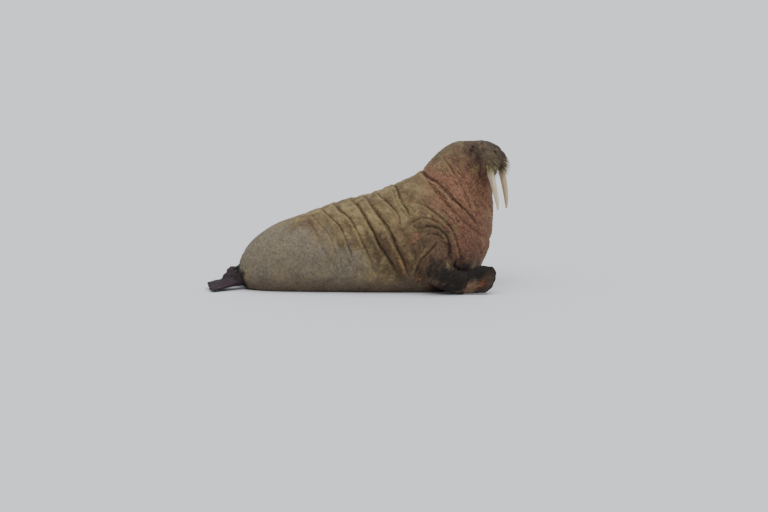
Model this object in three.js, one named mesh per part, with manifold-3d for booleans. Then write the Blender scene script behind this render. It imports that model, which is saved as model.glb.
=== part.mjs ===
// A bull walrus at life size. It lies on its belly with the forequarters raised, the hind
// flippers trail behind it, and the head is turned towards its right side.
// Millimetres, +X towards the head, +Z up, the floor at Z 0.
import * as THREE from "three";
import { mergeVertices } from "three/addons/utils/BufferGeometryUtils.js";
import Module from "manifold-3d";

const wasm = await Module();
wasm.setup();

// Driving dimensions
const seam = 0.3; // gap that divides one sub-part from the next
const around = 34; // points round a section of the trunk
const headYaw = THREE.MathUtils.degToRad(38); // turn of the head towards the right side
const neckX = 980; // the neck twists about an upright line here
const rumpSway = 130; // the hindquarters lie this far to the right side
const eyeRadius = 19;
const padRadii = [92, 92, 97]; // whisker pad: along the head, across it and upright
const padCentre = [1279, 66, 1195];
const whiskerRadius = 1.7;
const whiskerSunk = 9; // depth of a whisker's root in its pad
const tuskRadii = [34, 27]; // at the gum, along the head and across it
const handLength = 325;
const footLength = 322;

const { degToRad, lerp, smoothstep } = THREE.MathUtils;
const v3 = (x, y, z) => new THREE.Vector3(x, y, z);

// Materials
const finish = (color, roughness) => new THREE.MeshStandardMaterial({ color, roughness, metalness: 0 });
const hide = finish(0x7d6e52, 0.85);
const redHide = finish(0x86584a, 0.85);
const darkHide = finish(0x4a3830, 0.8);
const ivory = finish(0xd8c9a0, 0.4);
const eyeDark = finish(0x1c1310, 0.15);

// Turns a closed geometry into a solid with shared vertices.
function solid(geometry) {
  const loose = geometry.index ? geometry.toNonIndexed() : geometry;
  const bare = new THREE.BufferGeometry().setAttribute("position", loose.getAttribute("position"));
  const merged = mergeVertices(bare, 1e-3);
  const mesh = new wasm.Mesh({
    numProp: 3,
    vertProperties: new Float32Array(merged.attributes.position.array),
    triVerts: new Uint32Array(merged.index.array),
  });
  return new wasm.Manifold(mesh);
}

function geometryOf(body) {
  const mesh = body.getMesh();
  const positions = new Float32Array(mesh.numVert * 3);
  for (let i = 0; i < mesh.numVert; i++) {
    const at = i * mesh.numProp;
    positions.set(mesh.vertProperties.subarray(at, at + 3), i * 3);
  }
  return new THREE.BufferGeometry()
    .setAttribute("position", new THREE.BufferAttribute(positions, 3))
    .setIndex(new THREE.BufferAttribute(new Uint32Array(mesh.triVerts), 1));
}

// The same solid with its skin moved outwards: the room that a neighbour leaves for it.
// A corner on a sharp edge goes further, so that each face beside it moves by the seam.
const sharpest = 0.3; // least share of a corner's way that counts towards a face beside it

function grown(body) {
  const geometry = geometryOf(body);
  geometry.computeVertexNormals();
  const flat = geometry.toNonIndexed();
  flat.computeVertexNormals();
  const { position, normal } = geometry.attributes;
  const least = new Float32Array(position.count).fill(1);
  geometry.index.array.forEach((i, corner) => {
    const facing = v3().fromBufferAttribute(flat.attributes.normal, corner);
    const share = facing.dot(v3().fromBufferAttribute(normal, i));
    least[i] = Math.min(least[i], Math.max(share, sharpest));
  });
  for (let i = 0; i < position.count; i++) {
    const p = v3().fromBufferAttribute(position, i);
    p.addScaledVector(v3().fromBufferAttribute(normal, i), seam / least[i]);
    position.setXYZ(i, p.x, p.y, p.z);
  }
  return solid(geometry);
}

const largest = (body) => body.decompose().sort((a, b) => b.volume() - a.volume())[0];
const join = (...bodies) => bodies.reduce((a, b) => a.add(b));
const cut = (body, ...tools) => largest(tools.reduce((a, b) => a.subtract(b), body));

const ground = solid(new THREE.BoxGeometry(5000, 3000, 1000).translate(0, 0, -500));

// A closed skin through rings that all have the same even number of points. Point i of a ring
// faces point n - 1 - i, and strips between such pairs close the first and the last ring.
function loft(rings) {
  const n = rings[0].length;
  const corners = [];
  const quad = (a, b, c, d) => corners.push(a, b, c, a, c, d);
  for (let r = 0; r + 1 < rings.length; r++) {
    for (let i = 0; i < n; i++) {
      const j = (i + 1) % n;
      quad(rings[r][i], rings[r][j], rings[r + 1][j], rings[r + 1][i]);
    }
  }
  const first = rings[0];
  const last = rings.at(-1);
  for (let i = 0; i + 1 < n / 2; i++) {
    quad(first[i], first[n - 1 - i], first[n - 2 - i], first[i + 1]);
    quad(last[i], last[i + 1], last[n - 2 - i], last[n - 1 - i]);
  }
  const body = solid(new THREE.BufferGeometry().setFromPoints(corners));
  if (body.volume() > 0) return body;
  return solid(new THREE.BufferGeometry().setFromPoints(corners.reverse()));
}

// A smooth curve through values that stand at whole steps.
function eased(values) {
  const curve = new THREE.SplineCurve(values.map((value, i) => new THREE.Vector2(i, value)));
  return (t) => curve.getPoint(THREE.MathUtils.clamp(t / (values.length - 1), 0, 1)).y;
}

// Trunk. A station has its top and bottom on the middle plane, as [X, Z], and its half width.
// The stations lean forwards along the rolls of the back, and stand up again at the head.
// The belly goes below the floor, which cuts it flat.
const stations = [
  { top: [-1116, 215], bottom: [-1112, 120], half: 50 },
  { top: [-1085, 305], bottom: [-1075, 20], half: 150 },
  { top: [-1015, 408], bottom: [-930, -50], half: 245 },
  { top: [-905, 506], bottom: [-735, -90], half: 330 },
  { top: [-750, 588], bottom: [-460, -100], half: 400 },
  { top: [-560, 655], bottom: [-110, -105], half: 455 },
  { top: [-330, 741], bottom: [175, -110], half: 492 },
  { top: [-100, 812], bottom: [445, -110], half: 512 },
  { top: [120, 868], bottom: [695, -105], half: 512 },
  { top: [300, 940], bottom: [900, -70], half: 498 },
  { top: [420, 992], bottom: [1040, 50], half: 476 },
  { top: [510, 1035], bottom: [1115, 195], half: 445 },
  { top: [575, 1078], bottom: [1198, 440], half: 408 },
  { top: [655, 1176], bottom: [1215, 680], half: 362 },
  { top: [742, 1258], bottom: [1205, 850], half: 306 },
  { top: [830, 1318], bottom: [1190, 965], half: 254 },
  { top: [920, 1343], bottom: [1188, 1032], half: 216 },
  { top: [1010, 1350], bottom: [1205, 1050], half: 188 },
  { top: [1090, 1361], bottom: [1230, 1062], half: 168 },
  { top: [1165, 1367], bottom: [1256, 1078], half: 150 },
  { top: [1235, 1358], bottom: [1278, 1096], half: 130 },
  { top: [1297, 1335], bottom: [1300, 1116], half: 106 },
  { top: [1338, 1290], bottom: [1326, 1146], half: 78 },
  { top: [1353, 1246], bottom: [1345, 1200], half: 30 },
];
const hipsEnd = 4.4;
const torsoEnd = 8.12;
const chestEnd = 12;
const neckEnd = 16;
const headEnd = stations.length - 1;
const track = (pick) => eased(stations.map(pick));
const topX = track((s) => s.top[0]);
const topZ = track((s) => s.top[1]);
const bottomX = track((s) => s.bottom[0]);
const bottomZ = track((s) => s.bottom[1]);
const halfWidth = track((s) => s.half);
const topAt = (t) => v3(topX(t), 0, topZ(t));
const bottomAt = (t) => v3(bottomX(t), 0, bottomZ(t));

// Turn and sway of the trunk at a station.
const yawAt = (t) => headYaw * smoothstep(t, 10.5, 16.5);
const swayAt = (t) => -rumpSway * (1 - smoothstep(t, 0, 6));

function turned(p, yaw) {
  const x = p.x - neckX;
  const cos = Math.cos(yaw);
  const sin = Math.sin(yaw);
  return v3(neckX + x * cos + p.y * sin, p.y * cos - x * sin, p.z);
}
const onHead = (x, y, z) => turned(v3(x, y, z), headYaw);

// Creases between the rolls of the back and flanks, and the deep one behind the neck.
// Each is [station, depth].
const creases = [
  [5.27, 9],
  [5.83, 13],
  [6.51, 19],
  [7.27, 22],
  [7.85, 20],
  [8.38, 16],
  [9.1, 15],
  [12, 26],
];
const creaseReach = 0.11; // half width of a crease, in stations

const creaseFade = [40, 320]; // a crease comes in from the floor up between these heights

function creaseDip(t, z, side) {
  const dips = creases.map(([at, depth]) => depth * Math.exp(-(((t - at) / creaseReach) ** 2)));
  const dip = dips.reduce((sum, depth) => sum + depth);
  return dip * smoothstep(z, ...creaseFade) * lerp(0.6, 1, Math.abs(side));
}

// A point on the skin of the trunk. The angle runs from the back, 0, round by the left side.
function skinPoint(t, angle) {
  const top = topAt(t);
  const bottom = bottomAt(t);
  const middle = bottom.clone().lerp(top, lerp(0.42, 0.5, smoothstep(t, 9, 17)));
  const square = lerp(0.86, 1, smoothstep(t, 8, 13));
  const up = Math.cos(angle);
  const side = Math.sin(angle);
  const reach = up > 0 ? top.sub(middle) : middle.clone().sub(bottom);
  const p = middle.clone().addScaledVector(reach, Math.sign(up) * Math.abs(up) ** square);
  p.y = halfWidth(t) * Math.sign(side) * Math.abs(side) ** square;
  p.addScaledVector(p.clone().sub(middle).normalize(), -creaseDip(t, p.z, side));
  p.y += swayAt(t);
  return turned(p, yawAt(t));
}

function skinNormal(t, angle) {
  const step = 0.02;
  const along = skinPoint(t + step, angle).sub(skinPoint(t - step, angle));
  const round = skinPoint(t, angle + step).sub(skinPoint(t, angle - step));
  return along.cross(round).normalize();
}

// Half the seam at a station, in stations, where they stand closest.
function halfSeam(t) {
  const step = 0.01;
  const top = topAt(t + step).distanceTo(topAt(t - step));
  const bottom = bottomAt(t + step).distanceTo(bottomAt(t - step));
  return (0.55 * seam * 2 * step) / Math.min(top, bottom);
}

const evenly = (from, to, count) => Array.from({ length: count + 1 }, (_, k) => lerp(from, to, k / count));

// Rings of a length of the trunk: evenly spaced ones, and four at each crease in it.
function ringPlaces(from, to, count) {
  const places = evenly(from, to, count).filter((t) => creases.every(([at]) => Math.abs(t - at) > 0.2));
  for (const [at] of creases) {
    for (const off of [-1.4, -0.45, 0.45, 1.4]) places.push(at + off * creaseReach);
  }
  const inside = places.filter((t) => t > from + 0.02 && t < to - 0.02).sort((a, b) => a - b);
  const first = from > 0 ? from + halfSeam(from) : from;
  const final = to < headEnd ? to - halfSeam(to) : to;
  return [first, ...inside, final];
}

function trunk(from, to, count) {
  const rings = ringPlaces(from, to, count).map((t) =>
    Array.from({ length: around }, (_, i) => skinPoint(t, (2 * Math.PI * (i + 0.5)) / around)),
  );
  return loft(rings);
}

// A limb or horn: an oval section swept along a curve. Sizes are [half width, half height].
function limb(points, sizes, { steps = 10, sides = 16, up = v3(0, 0, 1) } = {}) {
  const path = new THREE.CatmullRomCurve3(points);
  const wide = eased(sizes.map((s) => s[0]));
  const high = eased(sizes.map((s) => s[1]));
  const rings = evenly(0, 1, steps).map((share) => {
    const centre = path.getPoint(share);
    const across = path.getTangent(share).cross(up).normalize();
    const over = across.clone().cross(path.getTangent(share)).normalize();
    const at = share * (sizes.length - 1);
    return Array.from({ length: sides }, (_, i) => {
      const angle = (2 * Math.PI * (i + 0.5)) / sides;
      const p = centre.clone().addScaledVector(over, Math.cos(angle) * high(at));
      return p.addScaledVector(across, Math.sin(angle) * wide(at));
    });
  });
  return loft(rings);
}

// A flipper: a fan of five fingers joined by skin, with the edge drawn back between the tips.
// It spreads from one angle to another about its long axis, and `fingers` are their lengths
// as shares of the whole. A point is given by how far out it is, its share of the way across
// from the first finger to the last, and its face: 1 for the sole and -1 for the back.
const cornerDraw = 0.16; // how far the outer corners of a fan are rounded off, as a share

function flipperPoint(spec, out, share, face) {
  const { root, along, across, length, rootWidth, thick, fingers, spread, curl, web } = spec;
  const ahead = along.clone().normalize();
  const sole = ahead.clone().cross(across).normalize();
  const wide = sole.clone().cross(ahead);
  const v = 2 * share - 1;
  const knuckle = 0.5 + 0.5 * Math.cos(2 * Math.PI * share * (fingers.length - 1));
  const reach = eased(fingers)(share * (fingers.length - 1)) * (1 - cornerDraw * v ** 8 * out);
  const far = out * length * reach * (1 - web * (1 - knuckle) * out * out);
  const angle = lerp(...spread, share);
  const plump = lerp(thick, thick * 0.24, out ** 0.8) * Math.sqrt(1 - v * v * 0.97);
  const ridge = 1 + 0.35 * (knuckle - 0.5) * smoothstep(out, 0.15, 0.5);
  const p = root.clone().addScaledVector(ahead, far * Math.cos(angle));
  p.addScaledVector(wide, (v * rootWidth) / 2 + far * Math.sin(angle));
  return p.addScaledVector(sole, 0.5 * face * plump * ridge + curl * out * out);
}

function flipper(spec, steps = 8, columns = 16) {
  const faces = [...Array(columns).keys()].map((k) => (k + 0.5) / columns);
  const rings = evenly(0, 1, steps).map((out) => [
    ...faces.map((share) => flipperPoint(spec, out, share, 1)),
    ...faces.toReversed().map((share) => flipperPoint(spec, out, share, -1)),
  ]);
  return join(loft(rings), ...spec.fingers.map((_, finger) => nail(spec, finger)));
}

// A small nail on the back of a finger, near its tip.
const nailRadius = 5;
const nailLength = 24;

function nail(spec, finger) {
  const share = lerp(0.06, 0.94, finger / (spec.fingers.length - 1));
  const base = flipperPoint(spec, spec.nailsAt, share, -0.8);
  const lie = flipperPoint(spec, 1, share, -0.8).sub(base).normalize();
  const cone = new THREE.ConeGeometry(nailRadius, nailLength, 5, 1).translate(0, nailLength / 4, 0);
  cone.applyQuaternion(new THREE.Quaternion().setFromUnitVectors(v3(0, 1, 0), lie));
  return solid(cone.translate(base.x, base.y, base.z));
}

function oval(centre, radii, detail = 20, lean = 0) {
  const geometry = new THREE.SphereGeometry(1, detail, Math.round(detail * 0.6)).scale(...radii);
  return geometry.rotateX(lean).rotateZ(-headYaw).translate(centre.x, centre.y, centre.z);
}

// Trunk pieces, from tail to nose
const hips = cut(trunk(0, hipsEnd, 9), ground);
const torso = cut(trunk(hipsEnd, torsoEnd, 4), ground);
const chest = cut(trunk(torsoEnd, chestEnd, 16), ground);
const neck = trunk(chestEnd, neckEnd, 12);

// Eyes: balls sunk in the head, in sockets with a ring of lid drawn over their rims.
const eyeStation = 18.7;
const eyeAngle = 0.9;
const lidRadius = 20;
const lidThickness = 7;

const eyeNormal = (side) => skinNormal(eyeStation, side * eyeAngle);
const eyeCentre = (side) =>
  skinPoint(eyeStation, side * eyeAngle).addScaledVector(eyeNormal(side), -0.25 * eyeRadius);
const eyeBall = (side, radius) => solid(oval(eyeCentre(side), [radius, radius, radius], 12));

function lids(side) {
  const outward = eyeNormal(side);
  const ring = new THREE.TorusGeometry(lidRadius, lidThickness, 6, 14).scale(1.2, 0.76, 1.2);
  const pose = new THREE.Matrix4().lookAt(outward, v3(0, 0, 0), v3(0, 0, 1));
  const place = eyeCentre(side).addScaledVector(outward, 0.42 * eyeRadius);
  return solid(ring.applyMatrix4(pose).translate(place.x, place.y, place.z));
}

// Slits and holes sunk in the head: nostrils at the top of the nose, and the ear openings.
const nostrilSize = [13, 6.5, 20];
const nostrilLean = degToRad(24);
const nostrilRoom = 1.5; // how far the pads stay clear of a nostril
const nostril = (side, room = 0) => {
  const radii = nostrilSize.map((radius) => radius + room);
  return solid(oval(skinPoint(21.9, side * 0.6), radii, 10, side * nostrilLean));
};
const earRadius = 8;
const earHole = (side) => solid(oval(skinPoint(17.2, side * 1.12), Array(3).fill(earRadius), 8));

const bothSides = (make) => [-1, 1].map(make);
const head = cut(
  join(trunk(neckEnd, headEnd, 15), ...bothSides(lids)),
  ...bothSides((side) => eyeBall(side, eyeRadius + seam)),
  ...bothSides((side) => nostril(side)),
  ...bothSides(earHole),
);
const headRoom = grown(head);

// Lower jaw: the chin and lower lip, tucked in behind the tusks.
const jaw = cut(solid(oval(onHead(1226, 0, 1092), [84, 66, 52])), headRoom);
const jawRoom = grown(jaw);

// Tusks: they leave the gum under the pads, lean forwards and bow a little.
function tusk(side) {
  const path = [
    onHead(1290, side * 84, 1185),
    onHead(1322, side * 85, 1100),
    onHead(1362, side * 80, 960),
    onHead(1388, side * 72, 840),
    onHead(1396, side * 65, 752),
  ];
  const [deep, wide] = tuskRadii;
  const taper = [1, 1, 0.82, 0.52, 0.1].map((share) => [wide * share, deep * share]);
  const ahead = onHead(neckX + 1, 0, 0).sub(onHead(neckX, 0, 0));
  return limb(path, taper, { steps: 10, sides: 12, up: ahead });
}
const mouthRoom = [headRoom, jawRoom, grown(tusk(-1)), grown(tusk(1)), head, jaw];
const tuskRight = cut(tusk(-1), headRoom, jawRoom);
const tuskLeft = cut(tusk(1), headRoom, jawRoom);

// Everything on the far side of the head's middle plane, less half the seam.
function otherHalf(side) {
  const half = new THREE.BoxGeometry(900, 400, 900).translate(300, side * (seam / 2 - 200), 1200);
  return solid(half.rotateZ(-headYaw).translate(neckX, 0, 0));
}

// A repeatable stream of numbers from 0 to 1.
function draws(seed) {
  let state = seed;
  return () => {
    state = (state * 16807) % 2147483647;
    return state / 2147483647;
  };
}

// A whisker: a tapered spine of three sides that bends down towards its tip.
function whisker(root, direction, length, droop) {
  const spine = new THREE.ConeGeometry(whiskerRadius, length + whiskerSunk, 3, 2);
  spine.translate(0, (length - whiskerSunk) / 2, 0);
  spine.applyQuaternion(new THREE.Quaternion().setFromUnitVectors(v3(0, 1, 0), direction));
  const { position } = spine.attributes;
  for (let i = 0; i < position.count; i++) {
    const p = v3().fromBufferAttribute(position, i);
    p.z -= droop * Math.max(p.dot(direction) / length, 0) ** 2;
    position.setXYZ(i, root.x + p.x, root.y + p.y, root.z + p.z);
  }
  return solid(spine);
}

// Whiskers stand in rows over the front, side and underside of a pad. They are short on top
// and long below and at the side.
const whiskerRows = 7;
const whiskersInRow = 7;

function whiskers(side) {
  const next = draws(side > 0 ? 41 : 97);
  const spines = [];
  for (let row = 0; row < whiskerRows; row++) {
    for (let column = 0; column < whiskersInRow; column++) {
      const low = (row + 0.6 * next()) / whiskerRows;
      const out = (column + 0.5 * (row % 2) + 0.5 * next()) / whiskersInRow;
      const height = degToRad(lerp(26, -64, low));
      const turn = degToRad(lerp(-22, 84, out));
      const level = Math.cos(height);
      const d = v3(level * Math.cos(turn), side * level * Math.sin(turn), Math.sin(height));
      const [x, y, z] = padCentre;
      const [a, b, c] = padRadii;
      const root = onHead(x + d.x * a, side * y + d.y * b, z + d.z * c);
      const lie = v3(d.x + 0.3, d.y * 0.9 + side * 0.1, d.z - 0.35).normalize();
      const direction = turned(lie.add(v3(neckX, 0, 0)), headYaw).sub(v3(neckX, 0, 0));
      const length = lerp(26, 72, 0.6 * low + 0.4 * out) * lerp(0.8, 1.15, next());
      spines.push(whisker(root, direction, length, 0.16 * length));
    }
  }
  return spines;
}

// A whisker pad bulges on each side of the nose and hangs over the gum.
function pad(side) {
  const [x, y, z] = padCentre;
  const core = cut(solid(oval(onHead(x, side * y, z), padRadii, 22)), otherHalf(side));
  const holes = bothSides((end) => nostril(end, nostrilRoom));
  return cut(join(core, ...whiskers(side)), ...mouthRoom, ...holes, otherHalf(side));
}
const padRight = pad(-1);
const padLeft = pad(1);

// Fore limbs. The right forearm lies along the floor, with the hand on its lower edge and the
// palm out. The left one is planted flat beside the chest.
const trunkRoom = [grown(hips), grown(torso), grown(chest), grown(neck)];
const armSizes = [
  [170, 180],
  [185, 185],
  [155, 150],
  [112, 114],
  [78, 100],
];
const armPath = [
  [590, 290, 520],
  [650, 400, 360],
  [710, 470, 235],
  [830, 490, 132],
  [970, 482, 98],
];
const arm = (side) => {
  const path = armPath.map(([x, y, z]) => v3(x, side * y, z));
  return cut(limb(path, armSizes), ...trunkRoom, ground);
};
const armRight = arm(-1);
const armLeft = arm(1);
const palmFingers = [0.66, 0.82, 0.94, 1.02, 1.03];
const plantedFingers = [0.8, 0.9, 0.98, 1.02, 1];

const handRight = cut(
  flipper({
    root: v3(940, -484, 100),
    along: v3(0.97, 0.04, 0.13),
    across: v3(-0.13, 0.42, 0.88),
    length: handLength,
    rootWidth: 186,
    thick: 96,
    fingers: palmFingers,
    spread: [degToRad(-11), degToRad(6)],
    curl: 18,
    web: 0.022,
    nailsAt: 0.88,
  }),
  grown(armRight),
  ...trunkRoom,
  ground,
);
const handLeft = cut(
  flipper({
    root: v3(930, 484, 56),
    along: v3(0.72, 0.68, -0.12),
    across: v3(0.68, -0.72, 0),
    length: handLength,
    rootWidth: 140,
    thick: 92,
    fingers: plantedFingers,
    spread: [degToRad(-15), degToRad(15)],
    curl: -12,
    web: 0.03,
    nailsAt: 0.88,
  }),
  grown(armLeft),
  ...trunkRoom,
  ground,
);

// Hind limbs: short shanks behind the hips, and fans that stand on their lower edges.
const tailPath = [v3(-1060, -130, 205), v3(-1125, -134, 192), v3(-1172, -138, 172)];
const tailSizes = [
  [60, 30],
  [42, 17],
  [22, 7],
];
const tail = cut(limb(tailPath, tailSizes), ...trunkRoom);
const tailRoom = grown(tail);
const shank = (y, ahead, z) => {
  const path = [v3(-1000, y, 140), v3(-1080, y, z + 16), v3(-1080, y, z).add(ahead)];
  return cut(limb(path, [[74, 84], [62, 66], [48, 52]]), ...trunkRoom, tailRoom, ground);
};
const shankRight = shank(-rumpSway - 72, v3(-60, -16, 0), 84);
const shankLeft = cut(shank(-rumpSway + 72, v3(-42, 36, 0), 106), grown(shankRight));

const footFingers = [1, 0.87, 0.8, 0.83, 0.95];
const footRight = cut(
  flipper({
    root: v3(-1106, -rumpSway - 78, 74),
    along: v3(-0.97, -0.22, -0.12),
    across: v3(-0.23, 0.95, 0.16),
    length: footLength,
    rootWidth: 110,
    thick: 78,
    fingers: footFingers,
    spread: [degToRad(-22), degToRad(22)],
    curl: -10,
    web: 0.06,
    nailsAt: 0.72,
  }),
  grown(shankRight),
  grown(shankLeft),
  tailRoom,
  ground,
);
const footLeft = cut(
  flipper({
    root: v3(-1092, -rumpSway + 95, 84),
    along: v3(-0.7, 0.7, -0.03),
    across: v3(0.2, 0.7, 0.6),
    length: footLength,
    rootWidth: 100,
    thick: 74,
    fingers: footFingers,
    spread: [degToRad(-22), degToRad(22)],
    curl: 10,
    web: 0.06,
    nailsAt: 0.72,
  }),
  grown(shankRight),
  grown(shankLeft),
  tailRoom,
  grown(footRight),
  ...trunkRoom,
  ground,
);

// The finished animal, with the middle of its outline over the origin.
const walrus = new THREE.Group();
function add(name, body, material) {
  const mesh = new THREE.Mesh(geometryOf(body), material);
  mesh.name = name;
  walrus.add(mesh);
}

add("head", head, hide);
add("jaw", jaw, darkHide);
add("pad_right", padRight, darkHide);
add("pad_left", padLeft, darkHide);
add("tusk_right", tuskRight, ivory);
add("tusk_left", tuskLeft, ivory);
add("eye_right", eyeBall(-1, eyeRadius), eyeDark);
add("eye_left", eyeBall(1, eyeRadius), eyeDark);
add("neck", neck, redHide);
add("chest", chest, redHide);
add("torso", torso, hide);
add("hips", hips, hide);
add("tail", tail, darkHide);
add("arm_right", armRight, darkHide);
add("arm_left", armLeft, darkHide);
add("hand_right", handRight, darkHide);
add("hand_left", handLeft, darkHide);
add("shank_right", shankRight, darkHide);
add("shank_left", shankLeft, darkHide);
add("foot_right", footRight, darkHide);
add("foot_left", footLeft, darkHide);

const middle = new THREE.Box3().setFromObject(walrus).getCenter(v3());
walrus.position.set(-middle.x, -middle.y, 0);

export default walrus;
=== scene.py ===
import math
import random
import bpy
import bmesh
import numpy as np
from mathutils import Matrix, Vector
from mathutils.kdtree import KDTree


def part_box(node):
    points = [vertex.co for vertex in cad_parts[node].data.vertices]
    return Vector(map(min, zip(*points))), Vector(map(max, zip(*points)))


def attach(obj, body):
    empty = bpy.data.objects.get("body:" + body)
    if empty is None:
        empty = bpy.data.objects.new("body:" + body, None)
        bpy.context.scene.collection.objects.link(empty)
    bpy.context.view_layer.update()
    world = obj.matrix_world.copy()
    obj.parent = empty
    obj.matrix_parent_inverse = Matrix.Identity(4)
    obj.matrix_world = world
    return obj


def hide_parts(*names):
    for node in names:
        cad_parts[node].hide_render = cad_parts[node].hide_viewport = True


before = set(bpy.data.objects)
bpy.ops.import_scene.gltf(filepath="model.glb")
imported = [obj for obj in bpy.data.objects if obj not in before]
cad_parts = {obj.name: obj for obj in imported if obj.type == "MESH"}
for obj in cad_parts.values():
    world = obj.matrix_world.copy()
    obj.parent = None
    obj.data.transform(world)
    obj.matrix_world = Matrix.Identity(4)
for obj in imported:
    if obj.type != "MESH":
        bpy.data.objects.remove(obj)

scene = bpy.context.scene
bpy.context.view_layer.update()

# A bull walrus at life size. Places are worked out in millimetres in the animal's own frame:
# +X towards the head, +Z up, the floor at Z 0.
animal = {
    "rightEye": (1051.05, -205.57, 1307.79),
    "leftEye": (1196.65, -19.21, 1307.79),
    "headYaw": 38.0,  # turn of the head towards the right side, degrees
    "neckX": 980.0,  # the neck twists about an upright line here
    "rumpSway": 130.0,  # the hindquarters lie this far to the right side
}


def boxMiddle(name):
    low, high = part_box(name)
    return (Vector(low) + Vector(high)) / 2


# From the animal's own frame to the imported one, found from the place of an eye
shift = boxMiddle("eye_right") * 1000 - Vector(animal["rightEye"])


def toFrame(point):
    return (Vector(point) + shift) / 1000


def onHead(x, y, z):
    yaw = math.radians(animal["headYaw"])
    ahead = x - animal["neckX"]
    turnedX = animal["neckX"] + ahead * math.cos(yaw) + y * math.sin(yaw)
    return (turnedX, y * math.cos(yaw) - ahead * math.sin(yaw), z)


def headWay(x, y, z):
    here = Vector(onHead(x + animal["neckX"], y, z))
    return (here - Vector((animal["neckX"], 0, 0))).normalized()


def linear(hexColour):
    channels = [int(hexColour[i : i + 2], 16) / 255 for i in (1, 3, 5)]
    return [c / 12.92 if c <= 0.04045 else ((c + 0.055) / 1.055) ** 2.4 for c in channels] + [1.0]


# Inputs are given by name or number, as a value or as the socket that feeds them
def addNode(tree, kind, props=None, inputs=None, out=0):
    node = tree.nodes.new(kind)
    for name, value in (props or {}).items():
        setattr(node, name, value)
    for name, value in (inputs or {}).items():
        if isinstance(value, bpy.types.NodeSocket):
            tree.links.new(value, node.inputs[name])
        else:
            node.inputs[name].default_value = value
    return node.outputs[out]


def noise(tree, coords, scale, detail=2.0, rough=0.5, out=0):
    inputs = {"Vector": coords, "Scale": scale, "Detail": detail, "Roughness": rough}
    return addNode(tree, "ShaderNodeTexNoise", inputs=inputs, out=out)


def spread(tree, socket, low, high, least=0.0, most=1.0, kind="SMOOTHSTEP"):
    inputs = {"Value": socket, "From Min": low, "From Max": high, "To Min": least, "To Max": most}
    return addNode(tree, "ShaderNodeMapRange", {"interpolation_type": kind}, inputs)


def product(tree, first, second):
    return addNode(tree, "ShaderNodeMath", {"operation": "MULTIPLY"}, {0: first, 1: second})


def blend(tree, share, under, over):
    return addNode(tree, "ShaderNodeMix", {"data_type": "RGBA"}, {0: share, 6: under, 7: over}, out=2)


def startMaterial(name, finish):
    material = bpy.data.materials.new(name)
    material.use_nodes = True
    tree = material.node_tree
    shader = tree.nodes["Principled BSDF"]
    for socket, value in finish.items():
        shader.inputs[socket].default_value = value
    return material, tree, shader


def addObject(name, data):
    thing = bpy.data.objects.new(name, data)
    scene.collection.objects.link(thing)
    return thing


def toMesh(bm, name):
    mesh = bpy.data.meshes.new(name)
    bm.to_mesh(mesh)
    bm.free()
    return mesh


def finishPiece(name, bm, material, replaced):
    mesh = toMesh(bm, name)
    piece = addObject(name, mesh)
    mesh.materials.append(material)
    mesh.polygons.foreach_set("use_smooth", [True] * len(mesh.polygons))
    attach(piece, "root")
    if replaced:
        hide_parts(*replaced)


# Camera: far off with a long lens, a little above the animal, square to its right side
view = {"target": (222.0, 0.0, 276.0), "distance": 40.0, "elevation": 9.0, "lens": 202.5, "sensor": 36.0,
        "farthest": 400.0}
seen = {"scale": 0.108, "centre": (384.0, 256.0)}  # pixels a millimetre in the 768 x 512 picture


def addCamera():
    data = bpy.data.cameras.new("camera")
    data.lens = view["lens"]
    data.sensor_width = view["sensor"]
    data.clip_end = view["farthest"]
    camera = addObject("camera", data)
    tilt = math.radians(view["elevation"])
    back = Vector((0, -math.cos(tilt), math.sin(tilt))) * view["distance"]
    camera.location = toFrame(view["target"]) + back
    camera.rotation_euler = (math.pi / 2 - tilt, 0, 0)
    scene.camera = camera


addCamera()
print("stage: camera")


# Smooth steps and wavy noise on whole arrays of points
def smoothStep(values, low, high):
    share = np.clip((values - low) / (high - low), 0, 1)
    return share * share * (3 - 2 * share)


def wavyNoise(points, size, seed, count=14):
    rng = np.random.default_rng(seed)
    total = np.zeros(len(points))
    for _ in range(count):
        way = rng.normal(size=3)
        way *= rng.uniform(0.6, 1.7) * 2 * math.pi / size / np.linalg.norm(way)
        total += np.sin(points @ way + rng.uniform(0, 2 * math.pi))
    return total / math.sqrt(count / 2)


# Waves laid over one another: amount, size in millimetres and seed of each
def layeredNoise(points, layers):
    return sum(amount * wavyNoise(points, size, seed) for amount, size, seed in layers)


def hump(values, middle, width):
    return np.exp(-(((values - middle) / width) ** 2))


# The neck's turn grows from the chest to the head, by a station that is read from x + rise * z
spine = {
    "rise": 1.1,
    "along": [1400, 1720, 2130, 2400],
    "stations": [10.5, 12, 14, 16.5],
    "rump": (-1116, -80),  # the sway of the hindquarters fades out between these
}


# Where a point of the skin is seen in the picture. A point on the left side is given the place
# of its mirror point on the right side, so that both sides carry the same folds.
def seenPlace(points):
    x, y, z = points.T
    station = np.interp(x + spine["rise"] * z, spine["along"], spine["stations"])
    yaw = math.radians(animal["headYaw"]) * smoothStep(station, spine["stations"][0], spine["stations"][-1])
    ahead = x - animal["neckX"]
    straightX = ahead * np.cos(yaw) - y * np.sin(yaw)
    straightY = ahead * np.sin(yaw) + y * np.cos(yaw)
    middle = -animal["rumpSway"] * (1 - smoothStep(x, *spine["rump"]))
    side = straightY - middle
    mirroredY = middle - np.abs(side)
    turnedX = animal["neckX"] + straightX * np.cos(yaw) + mirroredY * np.sin(yaw)
    turnedY = mirroredY * np.cos(yaw) - straightX * np.sin(yaw)
    tilt = math.radians(view["elevation"])
    targetX, _, targetZ = view["target"]
    u = seen["centre"][0] + seen["scale"] * (turnedX - targetX)
    height = (z - targetZ) * math.cos(tilt) + turnedY * math.sin(tilt)
    return u, seen["centre"][1] - seen["scale"] * height, side


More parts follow.
